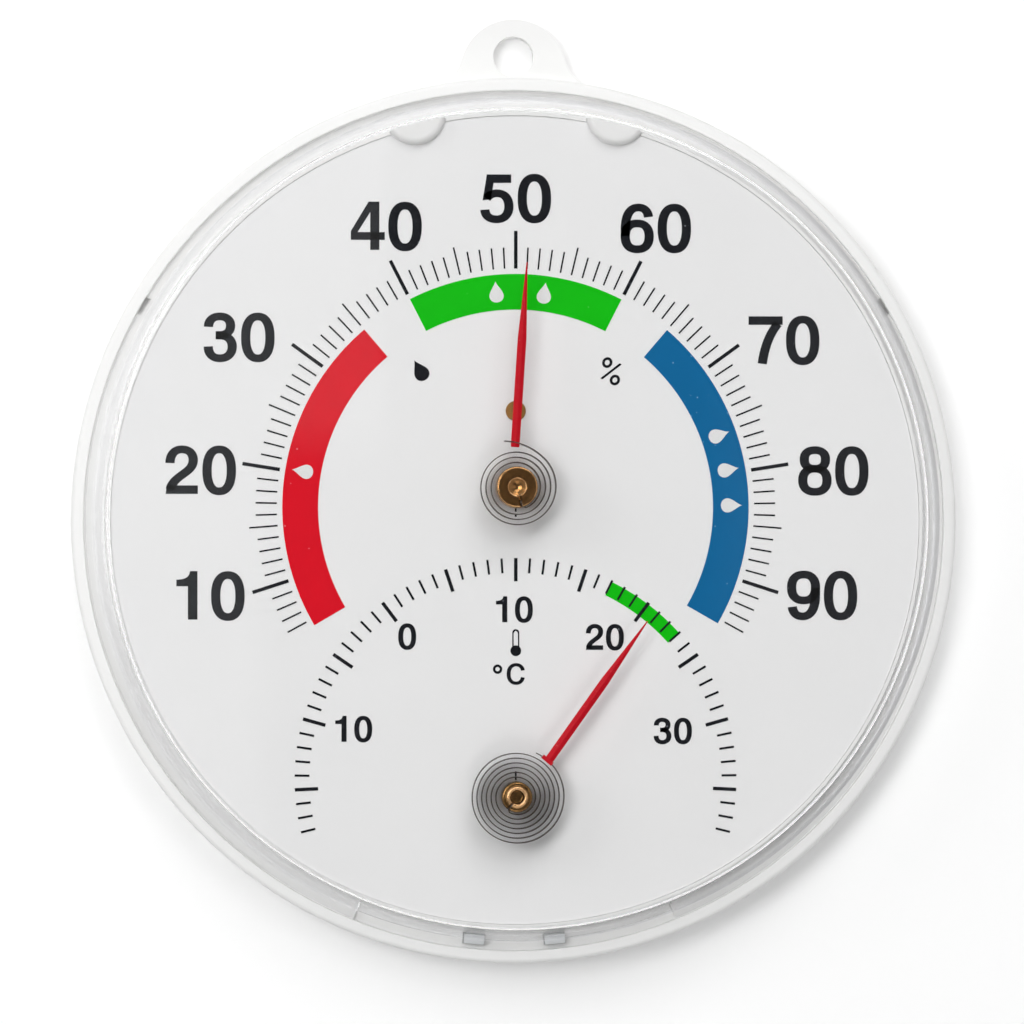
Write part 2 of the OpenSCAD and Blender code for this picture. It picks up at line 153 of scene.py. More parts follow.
# in millimetres: about how often each pattern repeats, and how deep its relief is
patternSize = {"orangePeel": 3, "frost": 0.4, "clouding": 18, "satin": 0.35, "pinholes": 0.9, "inkTone": 4,
               "chipsAndGlints": 1.1, "turning": 2.4, "tarnish": 1.4, "rolling": 0.25}
reliefDepth = {"orangePeel": 0.01, "satin": 0.02, "chipsAndGlints": 0.03, "turning": 0.02}


def linear(hexColour):
    # an sRGB hex value as linear colour
    c = np.array([int(hexColour[i:i + 2], 16) for i in (1, 3, 5)]) / 255
    c = np.where(c <= 0.04045, c / 12.92, ((c + 0.055) / 1.055) ** 2.4)
    return (*c.tolist(), 1.0)


def addNode(tree, kind, links=None, **settings):
    # links gives an input's value, or the output that feeds it
    node = tree.nodes.new("ShaderNode" + kind)
    for key, value in settings.items():
        setattr(node, key, value)
    for key, value in (links or {}).items():
        if isinstance(value, bpy.types.NodeSocket):
            tree.links.new(value, node.inputs[key])
        else:
            node.inputs[key].default_value = value
    return node


def combine(tree, operation, *values):
    # one sum, product or comparison of two or three values
    return addNode(tree, "Math", dict(enumerate(values)), operation=operation).outputs[0]


def mapTo(tree, value, start, end, low=0.0, high=1.0, **settings):
    # in a straight line from low, where the value is at start, to high, where it is at end
    links = {"Value": value, "From Min": start, "From Max": end, "To Min": low, "To Max": high}
    return addNode(tree, "MapRange", links, **settings).outputs[0]


def mixColours(tree, share, first, second):
    # the first colour where the share is 0, the second where it is 1
    return addNode(tree, "Mix", {0: share, 6: first, 7: second}, data_type="RGBA").outputs[2]


def noise(tree, where, pattern, detail, roughness=0.5):
    # a cloudy noise, scaled so that it repeats about once in the pattern's size
    links = {"Vector": where, "Scale": 1000 / patternSize[pattern], "Detail": detail,
             "Roughness": roughness}
    return addNode(tree, "TexNoise", links).outputs["Fac"]


def fromAxis(tree, where, centre):
    # a place as seen from an upright axis, and its distance: the length of what is left without its height
    middle = toRow([*centre, 0])
    moved = addNode(tree, "Mapping", {"Vector": where, "Location": (-middle[0], 0, -middle[2])}).outputs[0]
    flat = addNode(tree, "VectorMath", {0: moved, 1: (1, 0, 1)}, operation="MULTIPLY").outputs[0]
    return moved, addNode(tree, "VectorMath", {0: flat}, operation="LENGTH").outputs["Value"]


def newMaterial(name, hexColour, roughness, metallic=0.0, ior=None):
    material = bpy.data.materials.new(name)
    material.use_nodes = True
    tree = material.node_tree
    tree.nodes.clear()
    shader = addNode(tree, "BsdfPrincipled", {"Base Color": linear(hexColour), "Roughness": roughness,
                                              "Metallic": metallic})
    if ior:
        shader.inputs["IOR"].default_value = ior
    addNode(tree, "OutputMaterial", {"Surface": shader.outputs[0]})
    return material, tree, shader, addNode(tree, "TexCoord").outputs["Object"]


def emboss(tree, shader, height, pattern, strength):
    # the shader's normal is leaned by the slope of a height, which is scaled to the pattern's depth
    links = {"Height": height, "Strength": strength, "Distance": reliefDepth[pattern] * 0.001}
    tree.links.new(addNode(tree, "Bump", links).outputs[0], shader.inputs["Normal"])


def mouldedPlastic(name, hexColour, roughness):
    # injection-moulded polystyrene: even colour, a faint orange peel in its gloss
    material, tree, shader, where = newMaterial(name, hexColour, roughness, ior=1.59)
    shader.inputs["Specular IOR Level"].default_value = 0.25
    peel = noise(tree, where, "orangePeel", 1.0)
    rough = mapTo(tree, peel, 0, 1, roughness - 0.05, roughness + 0.07)
    tree.links.new(rough, shader.inputs["Roughness"])
    emboss(tree, shader, peel, "orangePeel", 0.5)
    return material


# the clear cover's side and foot, radii and height in metres
clearSide = {"polishedTo": 0.0604, "softFrom": 0.0608, "footFrom": 0.0625, "footTo": 0.063,
             "beyond": 0.0627, "rounded": 0.0225, "gloss": (0.01, 0.05), "share": 0.8,
             "glance": (0.8, 0.93), "thrown": 2.5, "tint": (0.98, 0.98, 0.98, 1),
             "deepTint": (0.975, 0.976, 0.99, 1)}


def clearPlastic(name, c):
    # clear moulded polystyrene, polished over the dial and with a softer finish on its side. Lamps and
    # bounced light go straight through it, so the dial isn't in its shadow, and so does what has been
    # thrown to and fro more than twice. So does a share of what is seen past the side at a glancing angle,
    # over its rounded edge and over the foot: the largest of the three, times the share
    material, tree, shader, where = newMaterial(name, "#FEFEFE", 0.01, ior=1.59)
    shader.inputs["Transmission Weight"].default_value = 1.0
    radius = fromAxis(tree, where, (0, 0))[1]
    rough = mapTo(tree, radius, c["polishedTo"], c["softFrom"], *c["gloss"])
    tree.links.new(rough, shader.inputs["Roughness"])
    side = mapTo(tree, radius, c["polishedTo"], c["softFrom"], 0.0, c["share"])
    glance = mapTo(tree, addNode(tree, "LayerWeight").outputs["Facing"], *c["glance"])
    depth = addNode(tree, "SeparateXYZ", {0: where}).outputs["Y"]
    apart = combine(tree, "MAXIMUM", combine(tree, "LESS_THAN", depth, -c["rounded"]),
                    combine(tree, "GREATER_THAN", radius, c["beyond"]))
    side = combine(tree, "MULTIPLY", side, combine(tree, "MAXIMUM", apart, glance))
    path = addNode(tree, "LightPath")
    through = combine(tree, "MAXIMUM", path.outputs["Is Shadow Ray"], path.outputs["Is Diffuse Ray"])
    lost = combine(tree, "GREATER_THAN", path.outputs["Glossy Depth"], c["thrown"])
    through = combine(tree, "MAXIMUM", combine(tree, "MAXIMUM", through, lost), side)
    deep = combine(tree, "MULTIPLY", side, mapTo(tree, radius, c["footFrom"], c["footTo"], 1.0, 0.0))
    tint = mixColours(tree, deep, c["tint"], c["deepTint"])
    seeThrough = addNode(tree, "BsdfTransparent", {"Color": tint})
    mix = addNode(tree, "MixShader", {0: through, 1: shader.outputs[0], 2: seeThrough.outputs[0]})
    out = next(n for n in tree.nodes if n.type == "OUTPUT_MATERIAL")
    tree.links.new(mix.outputs[0], out.inputs["Surface"])
    return material


def frostedPlastic(name, hexColour, paleHex):
    # the same plastic where its moulded skin is matt, so that it catches the light
    material, tree, shader, where = newMaterial(name, hexColour, 0.5, ior=1.59)
    skin = noise(tree, where, "frost", 3.0)
    colour = mixColours(tree, skin, linear(hexColour), linear(paleHex))
    tree.links.new(colour, shader.inputs["Base Color"])
    return material


def coatedSheet(name, hexColour, cloudHexes):
    # white-lacquered sheet metal with a fine satin grain and faint clouding
    material, tree, shader, where = newMaterial(name, hexColour, 0.5)
    cloud = noise(tree, where, "clouding", 4.0)
    colour = mixColours(tree, cloud, *[linear(h) for h in cloudHexes])
    tree.links.new(colour, shader.inputs["Base Color"])
    emboss(tree, shader, noise(tree, where, "satin", 2.0), "satin", 0.03)
    return material


def printedInk(name, hexColour, fleckHex, flecks):
    # screen-printed ink, flat and dense. A share of its cells holds a pinhole or a bit of dust as a pale
    # fleck, whose size goes with the cell's red and whose strength goes with its green
    material, tree, shader, where = newMaterial(name, hexColour, 0.42)
    shader.inputs["Specular IOR Level"].default_value = 0.1
    cells = addNode(tree, "TexVoronoi", {"Vector": where, "Scale": 1000 / patternSize["pinholes"]},
                    feature="F1")
    draw = addNode(tree, "SeparateColor", {0: cells.outputs["Color"]})
    reach = mapTo(tree, draw.outputs[0], 1 - flecks, 1.0, 0.0, 0.16)
    spot = combine(tree, "LESS_THAN", cells.outputs["Distance"], reach)
    dim = combine(tree, "MULTIPLY", spot, draw.outputs[1])
    value = mapTo(tree, noise(tree, where, "inkTone", 5.0), 0, 1, 0.93, 1.07)
    tone = addNode(tree, "HueSaturation", {"Color": linear(hexColour), "Value": value}).outputs[0]
    colour = mixColours(tree, dim, tone, linear(fleckHex))
    tree.links.new(colour, shader.inputs["Base Color"])
    return material


def sheetPaint(name, hexColour, chipAndGlintHex):
    # brushed-on red lacquer over thin sheet, with pale flecks where its noise is highest: chipped paint,
    # and painted highlights for small white glints
    material, tree, shader, where = newMaterial(name, hexColour, 0.3)
    shader.inputs["Specular IOR Level"].default_value = 0.2
    chipsAndGlints = noise(tree, where, "chipsAndGlints", 4.0, 0.6)
    # the pale flecks are chipped paint and painted highlight specks both
    paleFleckShare = mapTo(tree, chipsAndGlints, 0.69, 0.72)
    colour = mixColours(tree, paleFleckShare, linear(hexColour), linear(chipAndGlintHex))
    tree.links.new(colour, shader.inputs["Base Color"])
    emboss(tree, shader, chipsAndGlints, "chipsAndGlints", 0.25)
    return material


# the pale brass, roughness and tarnish limits of the painted highlight rings on the hubs' rounded edges
edgeHighlightBrass = {"colour": "#D6AA7C", "roughness": 0.3, "stained": 0.62, "clean": 0.4, "least": 0.45}


def turnedMetal(name, hexColour, stainHex, roughness, centre, highlightRings=()):
    # metal turned on a lathe: fine rings round the axis, a dull, uneven tarnish, and painted highlights on
    # its
    # rounded edges: pale brass rings, each from one radius to another, and most where the tarnish is least
    material, tree, shader, where = newMaterial(name, hexColour, roughness, metallic=1.0)
    moved, radius = fromAxis(tree, where, centre)
    rings = addNode(tree, "TexWave", {"Vector": moved, "Scale": 1000 / patternSize["turning"],
                                      "Distortion": 0.6, "Detail": 1.0},
                    wave_type="RINGS", rings_direction="Y").outputs["Fac"]
    stain = noise(tree, where, "tarnish", 5.0)
    tint = mixColours(tree, stain, linear(hexColour), linear(stainHex))
    gloss = mapTo(tree, stain, 0, 1, roughness - 0.07, roughness + 0.07)
    r = edgeHighlightBrass
    highlightShare = mapTo(tree, stain, r["stained"], r["clean"], r["least"])
    # each ring is a painted highlight on a rounded edge, pale brass where the tarnish is least
    for low, high in highlightRings:
        # COMPARE gives 1 within half the edge's width, in metres, of its middle
        edge = combine(tree, "COMPARE", radius, (low + high) * 0.0005, (high - low) * 0.0005)
        highlighted = combine(tree, "MULTIPLY", edge, highlightShare)
        tint = mixColours(tree, highlighted, tint, linear(r["colour"]))
        gloss = addNode(tree, "Mix", {0: highlighted, 2: gloss, 3: r["roughness"]}).outputs[0]
    tree.links.new(tint, shader.inputs["Base Color"])
    tree.links.new(gloss, shader.inputs["Roughness"])
    emboss(tree, shader, rings, "turning", 0.3)
    return material


def rolledStrip(name, hexColour, stainHex):
    # thin rolled strip, dull with rolling lines along it
    material, tree, shader, where = newMaterial(name, hexColour, 0.28, metallic=1.0)
    drawnOut = addNode(tree, "Mapping", {"Vector": where, "Scale": (0.1, 1.0, 0.1)}).outputs[0]
    streak = noise(tree, drawnOut, "rolling", 3.0)
    colour = mixColours(tree, streak, linear(hexColour), linear(stainHex))
    tree.links.new(colour, shader.inputs["Base Color"])
    return material


hygroMiddle, thermoMiddle = (0, place["hygroUp"]), (0, place["thermoUp"])
rivetMiddle = (0, place["hygroUp"] + place["rivetAboveHygro"])
whitePolystyrene = mouldedPlastic("white moulded polystyrene", "#F4F4F3", 0.4)
clearPolystyrene = clearPlastic("clear moulded polystyrene", clearSide)
frostedPolystyrene = frostedPlastic("frosted polystyrene of the hooks", "#E2E6E8", "#F4F6F7")
whiteLacqueredSheet = coatedSheet("white lacquered sheet", "#F4F4F4", ("#F2F2F2", "#F6F6F6"))
blackInk = printedInk("black screen-print ink", "#0E1016", "#8A8D95", 0.22)
redInk = printedInk("red screen-print ink", "#E4001F", "#F08A94", 0.2)
greenInk = printedInk("green screen-print ink", "#00C400", "#5FD65F", 0.12)
blueInk = printedInk("blue screen-print ink", "#00689F", "#7FB4D6", 0.35)
whiteInk = printedInk("white of the sheet in the print", "#EFEFEF", "#DADADD", 0.05)
# the pale flecks on the pointers' red are chips and painted highlights
redLacquer = sheetPaint("red lacquer on sheet", "#C8041C", "#E08A88")
# the radii given for each hub are painted highlight rings on its rounded edges
hygroBrass = turnedMetal("turned brass of the humidity arbor", "#A87C4C", "#54371F", 0.17, hygroMiddle,
                         highlightRings=[(1.24, 1.38), (2.85, 3.1)])
thermoBrass = turnedMetal("turned brass of the thermometer stud", "#A07A4C", "#543A22", 0.17, thermoMiddle,
                          highlightRings=[(1.04, 1.64)])
rivetBrass = turnedMetal("dull brass of the rivet", "#8F6B3C", "#5C4026", 0.5, rivetMiddle)
zincSteel = turnedMetal("zinc-plated steel", "#9A9B9D", "#77787B", 0.4, hygroMiddle)
coilStrip = rolledStrip("rolled bimetal strip", "#6A625C", "#3E3835")
print("materials made")

cadFinish = {
    "rear_case": whitePolystyrene, "front_cover": clearPolystyrene, "dial_plate": whiteLacqueredSheet,
    "dial_rivet": rivetBrass, "hub_strip": zincSteel, "dry_band_print": redInk,
    "ideal_band_print": greenInk, "humid_band_print": blueInk, "comfort_band_print": greenInk,
    "hygro_scale_print": blackInk, "thermo_scale_print": blackInk, "hygro_bush": hygroBrass,
    "hygro_spring_washer": zincSteel, "hygro_retainer": zincSteel, "hygro_arbor": hygroBrass,
    "hygro_coil": coilStrip, "hygro_pointer": redLacquer, "thermo_stud": thermoBrass,
    "thermo_washer": zincSteel, "thermo_coil": coilStrip, "thermo_pointer": redLacquer,
}
for node, material in cadFinish.items():
    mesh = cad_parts[node].data
    mesh.materials.clear()
    mesh.materials.append(material)

# Numbers and signs, drawn in units of a thousandth of the figures' size

# half the pen's width across and up, half a thin line's; the middle of a figure's height; the sum of
# opposite points, to turn a figure upside down
pen = {"stem": 68, "bar": 57, "thin": 44, "middle": 345, "opposite": (554, 691)}
inkLow, inkHigh = place["dialHeight"], place["dialHeight"] + place["inkThickness"]


def bezier(nodes, steps=14):
    # a chain of cubic curves: start, then two handles and an end for each. A point is the sum of the four
    # by the weights (1-t)^3, 3(1-t)^2 t, 3(1-t)t^2 and t^3
    p = np.asarray(nodes, float)
    t = np.linspace(0, 1, steps + 1)[:, None]
    parts = [p[:1]]
    for i in range(0, len(p) - 1, 3):
        a, b, c, d = p[i:i + 4]
        curve = (1 - t) ** 3 * a + 3 * (1 - t) ** 2 * t * b + 3 * (1 - t) * t ** 2 * c + t ** 3 * d
        parts.append(curve[1:])
    return np.concatenate(parts)


def ovalPath(centre, radii, power=2.35, steps=72):
    # a closed oval, squarer than an ellipse: the 2/power-th power of cosine and sine, with their signs
    a = np.linspace(0, 2 * np.pi, steps, endpoint=False)
    c, s = np.cos(a), np.sin(a)
    return np.stack([centre[0] + radii[0] * np.sign(c) * abs(c) ** (2 / power),
                     centre[1] + radii[1] * np.sign(s) * abs(s) ** (2 / power)], -1)


def penStroke(path, closed=False, stem=pen["stem"], bar=pen["bar"]):
    # the two edges of a path drawn with a pen that is wider across than it is high: the path, give or take
    # its normal times the pen's half widths
    if closed:
        along = np.roll(path, -1, 0) - np.roll(path, 1, 0)
    else:
        along = np.gradient(path, axis=0)
    along /= np.linalg.norm(along, axis=1)[:, None]
    reach = np.stack([-along[:, 1] * stem, along[:, 0] * bar], -1)
    return path + reach, path - reach


figures = {
    "0": [("oval", (278, 345), (178, 307))],
    "1": [("shape", [(378, 0), (378, 710)]
           + bezier([(268, 710), (258, 620), (200, 587), (69, 585)]).tolist()
           + [(69, 488), (238, 488), (238, 0)])],
    "2": [("path", [(103, 452), (103, 575), (170, 653), (277, 653), (380, 653), (443, 590), (443, 498),
                    (443, 400), (380, 350), (295, 290), (200, 222), (128, 165), (106, 62)]),
          ("shape", [(38, 0), (511, 0), (511, 124), (60, 124)])],
    "3": [("path", [(100, 500), (100, 595), (165, 653), (265, 653), (362, 653), (424, 600), (424, 520),
                    (424, 430), (365, 379), (262, 379), (245, 379), (225, 379), (205, 379)]),
          ("path", [(205, 373), (235, 373), (250, 373), (262, 373), (378, 373), (448, 312), (448, 212),
                    (448, 105), (378, 38), (268, 38), (165, 38), (97, 98), (97, 212)])],
    "4": [("shape", [(312, 0), (446, 0), (446, 710), (312, 710)]),
          ("shape", [(27, 148), (526, 148), (526, 262), (27, 262)]),
          ("shape", [(27, 262), (128, 262), (312, 556), (312, 710), (288, 710), (27, 276)])],
    "5": [("shape", [(104, 574), (482, 574), (482, 698), (122, 698)]),
          ("shape", [(104, 574), (224, 574), (198, 415), (182, 330), (62, 318)]),
          ("path", [(120, 345), (158, 396), (205, 421), (275, 421), (385, 421), (448, 345), (448, 228),
                    (448, 112), (380, 38), (268, 38), (165, 38), (97, 90), (95, 180)])],
    "6": [("oval", (276, 228), (176, 190)),
          ("path", [(101, 232), (101, 330), (101, 300), (101, 335), (101, 540), (170, 653), (292, 653),
                    (375, 653), (432, 606), (442, 512)])],
    "7": [("shape", [(25, 574), (528, 574), (528, 698), (25, 698)]),
          ("path", [(458, 590), (340, 450), (262, 260), (226, 0)])],
    "8": [("oval", (278, 514), (156, 137)), ("oval", (278, 208), (178, 170))],
    "C": [("path", [(607, 245), (585, 115), (500, 42), (375, 42), (215, 42), (118, 160), (118, 359),
                    (118, 558), (215, 677), (375, 677), (500, 677), (590, 605), (607, 480)])],
    "%": [("thin", (197, 528), (120, 132)), ("thin", (692, 164), (120, 132)),
          ("shape", [(255, -20), (335, -20), (634, 710), (554, 710)])],
    "degree": [("thin", (200, 560), (118, 118))],
}
figureWidth = {"most": (29, 524), "1": (69, 378), "%": (28, 861), "C": (44, 684), "degree": (50, 350)}


def figureParts(name, low, high, spot):
    # the closed parts of one figure; spot moves its flat points to the dial. A 9 is a 6 turned upside down
    parts = []
    upsideDown = name == "9"

    def facing(flat):
        return np.array(pen["opposite"]) - flat if upsideDown else flat

    def ribbon(path, closed=False, **penSize):
        # a ring of four points across the ribbon for each point of its path
        left, right = penStroke(facing(path), closed, **penSize)
        n = len(left)
        loop = spot(np.stack([left, left, right, right], 1))
        height = np.broadcast_to([low, high, high, low], (n, 4))[..., None]
        faces = gridFaces(n, 4, True, True).tolist() if closed else tubeFaces(n, 4)
        parts.append((np.concatenate([loop, height], -1), faces))

    for kind, *shape in figures["6" if upsideDown else name]:
        if kind == "oval":
            ribbon(ovalPath(*shape), True)
        elif kind == "thin":
            ribbon(ovalPath(*shape, power=2.0), True, stem=pen["thin"], bar=pen["thin"])
        elif kind == "path":
            ribbon(bezier(shape[0]))
        else:
            parts.append(slab(spot(facing(np.array(shape[0], float))), low, high))
    return parts


def label(text, centre, size, lean=0.0, gap=556):
    # figures side by side, centred on a place of the dial; lean turns them clockwise
    edges = [figureWidth.get(c, figureWidth["most"]) for c in text]
    middle = (edges[0][0] + gap * (len(text) - 1) + edges[-1][1]) / 2
    parts = []
    for i, c in enumerate(text):
        def spot(q, shift=i * gap):
            q = (np.asarray(q, float) + [shift - middle, -pen["middle"]]) * size / 1000
            return turnedBy(q, lean, centre)
        parts += figureParts(c, inkLow, inkHigh, spot)
    return parts


# each scale's numbers with their places, then its signs with their places, sizes and leans
labels = {
    "hygro": {
        "up": place["hygroScaleUp"], "size": 10.1, "gap": 545,
        "numbers": [("10", -45.2, -13.2), ("20", -46.7, 5.4), ("30", -41.0, 25.1), ("40", -19.2, 41.6),
                    ("50", 0.0, 45.8), ("60", 20.8, 41.4), ("70", 39.9, 24.8), ("80", 47.2, 5.4),
                    ("90", 45.5, -13.1)],
        "signs": [("%", 14.15, 20.16, 4.6, 30)],
    },
    "thermo": {
        "up": place["thermoScaleUp"], "size": 5.4, "gap": 556,
        "numbers": [("10", -24.0, 7.4), ("0", -16.1, 21.1), ("10", -0.2, 25.1), ("20", 13.2, 21.0),
                    ("30", 23.3, 7.1)],
        "signs": [("C", 0.0, 15.5, 4.3, 0), (["degree"], -2.7, 15.35, 4.3, 0)],
    },
}
numberParts = []
for scale in labels.values():
    for text, x, y in scale["numbers"]:
        numberParts += label(text, (x, y + scale["up"]), scale["size"], gap=scale["gap"])
    for text, x, y, size, lean in scale["signs"]:
        numberParts += label(text, (x, y + scale["up"]), size, lean)


def dropParts(centre, height, lean, low, high):
    # a falling drop: a pointed top and a round foot
    half = bezier([(0, 0.56), (0.05, 0.35), (0.34, 0.08), (0.34, -0.14), (0.34, -0.34), (0.18, -0.46),
                   (0, -0.46)])
    flat = np.concatenate([half, half[-2:0:-1] * [-1, 1]]) * height
    return [slab(turnedBy(flat, lean, centre), low, high)]


def thermometerParts(centre, height, low, high):
    # a round bulb, and over it the edge line of a stem with a half-round top
    w, bulb, edge = 0.13 * height, 0.2 * height, 0.05 * height
    foot = centre[1] - height / 2 + bulb
    disc = np.array([centre[0], foot]) + bulb * polar(1.0, np.linspace(0, 360, 48, endpoint=False))
    a = np.linspace(0, np.pi, 20)
    top = np.array([centre[0], centre[1] + height / 2 - w]) + w * np.stack([np.cos(a), np.sin(a)], -1)
    stem = np.concatenate([[[centre[0] + w, foot]], top, [[centre[0] - w, foot]]])
    inward = np.where(stem[:, :1] > centre[0], -edge, edge)
    inner = stem + np.concatenate([inward, np.zeros_like(inward)], 1)
    inner[1:-1, 1] -= edge
    n = len(stem)
    loop = np.stack([stem, stem, inner, inner], 1)
    heights = np.broadcast_to([low, high, high, low], (n, 4))[..., None]
    return [(np.concatenate([loop, heights], -1), tubeFaces(n, 4)), slab(disc, low, high)]


smallSigns = {"drop": {"at": (-14.15, 20.16), "height": 3.3, "lean": -30},
              "thermometer": {"at": (0, 20.2), "height": 4.0}}
x, y = smallSigns["drop"]["at"]
numberParts += dropParts((x, y + place["hygroScaleUp"]), smallSigns["drop"]["height"],
                         smallSigns["drop"]["lean"], inkLow, inkHigh)
x, y = smallSigns["thermometer"]["at"]
numberParts += thermometerParts((x, y + place["thermoScaleUp"]), smallSigns["thermometer"]["height"],
                                inkLow, inkHigh)
numbers = makePiece("dial_numbers", numberParts, blackInk, "case")

# white drops on the bands, whose ink they cover from a little above its underside to a little above its top
bandSigns = {"height": 3.1, "radius": 31.9, "clock": [-80.5, -5.2, 7.6, 70.5, 80.0, 89.5],
             "heights": (inkLow + 0.01, inkHigh + 0.03)}
signParts = []
for clock in bandSigns["clock"]:
    x, y = polar(bandSigns["radius"], clock)
    signParts += dropParts((x, y + place["hygroScaleUp"]), bandSigns["height"], clock,
                           *bandSigns["heights"])
signs = makePiece("band_drops", signParts, whiteInk, "case")
print("numbers and signs made")

# Clear cover: the section turned round the axis, with the foot drawn in over the vent, and two clips of
# each kind

cover = {
    "inside": 61.0, "wall": 1.6, "draft": 0.65, "top": 24.0, "ledge": 6.63, "foot": 63.9,
    "footHeight": 1.2, "rounds": (0.15, 0.1, 0.2, 0.3, 1.3, 0, 0, 0.5), "flatFrom": 0.04, "ventHalf": 22.0,
    "ventLift": 1.0, "ventSlope": 0.15, "step": 0.75,
}
hook = {"clocks": (174.5, 185.5), "width": 3.0, "inner": 61.95, "outer": 63.35, "top": 9.0, "shoulder": 7.8,
        "low": 3.6, "catch": 5.1, "barb": 0.5, "slope": 0.7}
nose = {"clocks": (-60, 60), "width": 2.4, "inner": 63.6, "outer": 64.25, "low": 6.75, "high": 7.35}


def coverSection(c):
    # from the foot's inner edge outwards, up the side, over the front and back down inside
    out = c["inside"] + c["wall"]
    lean = out - c["draft"]
    footTop, under = c["ledge"] + c["footHeight"], c["top"] - c["wall"]
    corners = [(c["inside"], c["ledge"]), (c["foot"], c["ledge"]), (c["foot"], footTop), (out, footTop),
               (lean, c["top"]), (0, c["top"]), (0, under), (lean - c["wall"], under)]
    return roundCorners(corners, c["rounds"], 10, hold=c["flatFrom"])


def coverSurface(c):
    # the section at each clock angle; over the vent the foot shrinks to the side's own radius and the lower
    # edge rises, by a share that goes from 0 to 1 across each end of the vent
    section = coverSection(c)
    edges = np.array([180 - c["ventHalf"], 180 + c["ventHalf"]])
    near = edges[:, None] + np.linspace(-0.2, 0.2, 9)
    angle = np.unique(np.round(np.concatenate([np.arange(0, 360, c["step"]), near.ravel()]), 4))
    vent = np.clip((c["ventHalf"] - abs(angle - 180)) / c["ventSlope"] + 0.5, 0, 1)[None, :]
    r, h = section[:, :1], section[:, 1:]
    rise = np.clip((h - c["ledge"]) / (c["top"] - c["ledge"]), 0, 1)
    wallRadius = c["inside"] + c["wall"] - c["draft"] * rise
    r = r + (np.minimum(r, wallRadius) - r) * vent
    h = h + (np.maximum(h, c["ledge"] + c["ventLift"]) - h) * vent
    a = np.radians(angle)[None, :]
    return np.stack([r * np.sin(a), r * np.cos(a), h], -1), gridFaces(len(section), len(angle), True, True)


def sidePart(clock, width, section):
    # a section of (radius, height) drawn out across the clock angle
    across = np.repeat([-width / 2, width / 2], len(section))
    r, h = np.tile(np.transpose(section), 2)
    points = np.column_stack([turnedBy(np.stack([across, r], -1), clock), h])
    return points, tubeFaces(2, len(section))


# a hook goes down through the ledge and catches under its inner side, a nose snaps in under the rim's lip
hookIn, hookOut, tip = hook["inner"], hook["outer"], hook["inner"] - hook["barb"]
hookSection = [(hookIn, hook["top"]), (hookOut, hook["shoulder"]), (hookOut, hook["low"]),
               (hookIn, hook["low"]), (tip, hook["low"] + hook["slope"]), (tip, hook["catch"]),
               (hookIn, hook["catch"])]
noseSection = [(nose["inner"], nose["low"]), (nose["inner"], nose["high"]), (nose["outer"], nose["high"]),
               (nose["outer"], nose["low"])]
noses = [sidePart(c, nose["width"], noseSection) for c in nose["clocks"]]
clearCover = makePiece("clear_cover", [coverSurface(cover)] + noses, clearPolystyrene, "case", sharp=40)
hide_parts("front_cover")
coverHooks = makePiece("cover_hooks", [sidePart(c, hook["width"], hookSection) for c in hook["clocks"]],
                       frostedPolystyrene, "case")
print("cover made")

# Hubs: turned brass with broken edges, slotted for the coil's inner end

hubs = {
    "arbor": {"centre": hygroMiddle, "slotAt": 168, "slotWidth": 0.45, "drum": 3.05, "hole": 1.24,
              "base": 12.65, "slotLow": 15.1, "plugLow": 14.9, "top": 18.2, "floor": 17.0, "dish": 2.48,
              "edge": 0.3, "lip": 0.18, "flatFrom": 0.03},
    "shank": {"radius": 1.5, "back": 8.6, "slotDepth": 0.7, "slotWidth": 0.5},
    "stud": {"centre": thermoMiddle, "slotAt": 218, "slotWidth": 0.45, "drum": 2.25, "collar": 1.62,
             "hole": 1.0, "punch": 0.3, "base": 12.0, "slotLow": 14.6, "shoulder": 17.2, "top": 18.0,
             "holeLow": 16.0, "edge": 0.3, "lip": 0.27, "corner": 0.12, "bowl": 0.25, "flatFrom": 0.02,
             "shank": 1.9, "headTop": 10.8, "head": 2.5, "back": 10.3},
}
overlap = 0.02


def turnedPart(outline, centre, slotAt=0.0, slotWidth=0.0, steps=96):
    # a closed section of (radius, height) carried round an upright axis; with a slot, each radius stops
    # short of it by the angle at which the radius reaches the slot's parallel sides
    r, h = np.asarray(outline, float).T[..., None]
    if slotWidth:
        short = np.arcsin(slotWidth / 2 / np.maximum(r, slotWidth * 0.51))
        a = math.radians(slotAt) + short + (2 * np.pi - 2 * short) * np.linspace(0, 1, steps)
    else:
        a = np.linspace(0, 2 * np.pi, steps, endpoint=False) + 0 * r
    points = np.stack([centre[0] + r * np.sin(a), centre[1] + r * np.cos(a), h + 0 * a], -1)
    faces = gridFaces(len(r), steps, True, not slotWidth).tolist()
    if slotWidth:
        first = (np.arange(len(r)) * steps).tolist()
        faces += [first, [v + steps - 1 for v in first[::-1]]]
    return points, faces


def halfShank(side, s, centre):
    # half of the shank's back end, on one side of the screwdriver slot
    a = np.linspace(0, np.pi, 25)
    w = s["slotWidth"] / 2
    reach = math.sqrt(s["radius"] ** 2 - w ** 2)
    arc = np.stack([np.cos(a) * reach, w + np.sin(a) * (s["radius"] - w)], -1)
    return slab(np.asarray(centre) + arc * [1, side], s["back"], s["back"] + s["slotDepth"])


